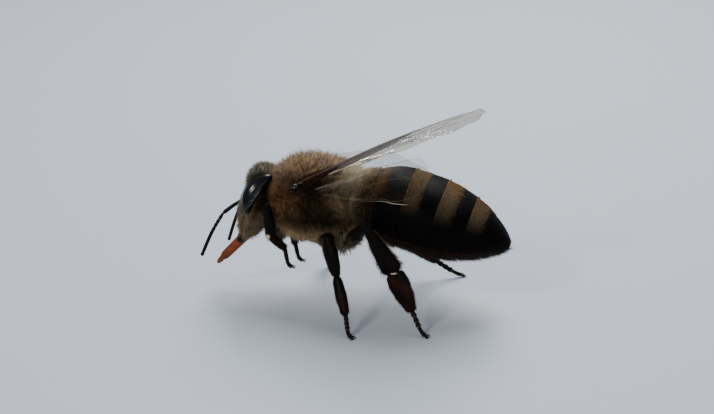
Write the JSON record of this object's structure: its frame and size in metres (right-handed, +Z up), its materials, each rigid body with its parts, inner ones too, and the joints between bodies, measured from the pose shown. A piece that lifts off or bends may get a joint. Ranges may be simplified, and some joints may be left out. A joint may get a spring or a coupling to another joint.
{
  "type": "honey bee",
  "caption": "Honey bee worker at life size, drinking with its head low and tongue out, one pair of wings lifted and the other folded back.",
  "frame": {"origin": "middle of the footprint of the whole bee, on the ground under its feet", "axes": "+X towards the tail, -X towards the head, +Y towards the bee's right side, +Z up"},
  "size_m": [0.0142, 0.0088, 0.0109],
  "materials": {
    "coat": "dense golden-brown fur, paler at the tips",
    "band": "glossy black-brown plate with a tan band of fine hair along its front edge",
    "plate": "glossy black-brown plate",
    "eye": "glossy black",
    "leg": "dark brown, half gloss, with short bristles",
    "feeler": "black, half gloss",
    "tongue": "translucent orange-red",
    "wing": "clear membrane with brown veins"
  },
  "bodies": {
    "root": {"leg_front_left_hip": "leg", "leg_front_left_thigh": "leg", "leg_front_left_shin": "leg", "leg_front_left_heel": "leg", "leg_front_left_foot": "leg", "leg_front_right_hip": "leg", "leg_front_right_thigh": "leg", "leg_front_right_shin": "leg", "leg_front_right_heel": "leg", "leg_front_right_foot": "leg", "leg_middle_left_hip": "leg", "leg_middle_left_thigh": "leg", "leg_middle_left_shin": "leg", "leg_middle_left_heel": "leg", "leg_middle_left_foot": "leg", "leg_middle_right_hip": "leg", "leg_middle_right_thigh": "leg", "leg_middle_right_shin": "leg", "leg_middle_right_heel": "leg", "leg_middle_right_foot": "leg", "leg_hind_left_hip": "leg", "leg_hind_left_thigh": "leg", "leg_hind_left_shin": "leg", "leg_hind_left_heel": "leg", "leg_hind_left_foot": "leg", "leg_hind_right_hip": "leg", "leg_hind_right_thigh": "leg", "leg_hind_right_shin": "leg", "leg_hind_right_heel": "leg", "leg_hind_right_foot": "leg", "proboscis": "tongue", "glossa": "tongue", "mandible_left": "leg", "eye_left": "eye", "antenna_left_scape": "feeler", "antenna_left_flagellum": "feeler", "mandible_right": "leg", "eye_right": "eye", "antenna_right_scape": "feeler", "antenna_right_flagellum": "feeler", "head": "coat", "thorax": "coat", "forewing_left": "wing", "forewing_right": "wing", "hindwing_left": "wing", "hindwing_right": "wing", "waist": "plate", "abdomen_1": "coat", "abdomen_2": "band", "abdomen_3": "band", "abdomen_4": "band", "abdomen_5": "band", "abdomen_6": "plate"}
  },
  "joints": []
}
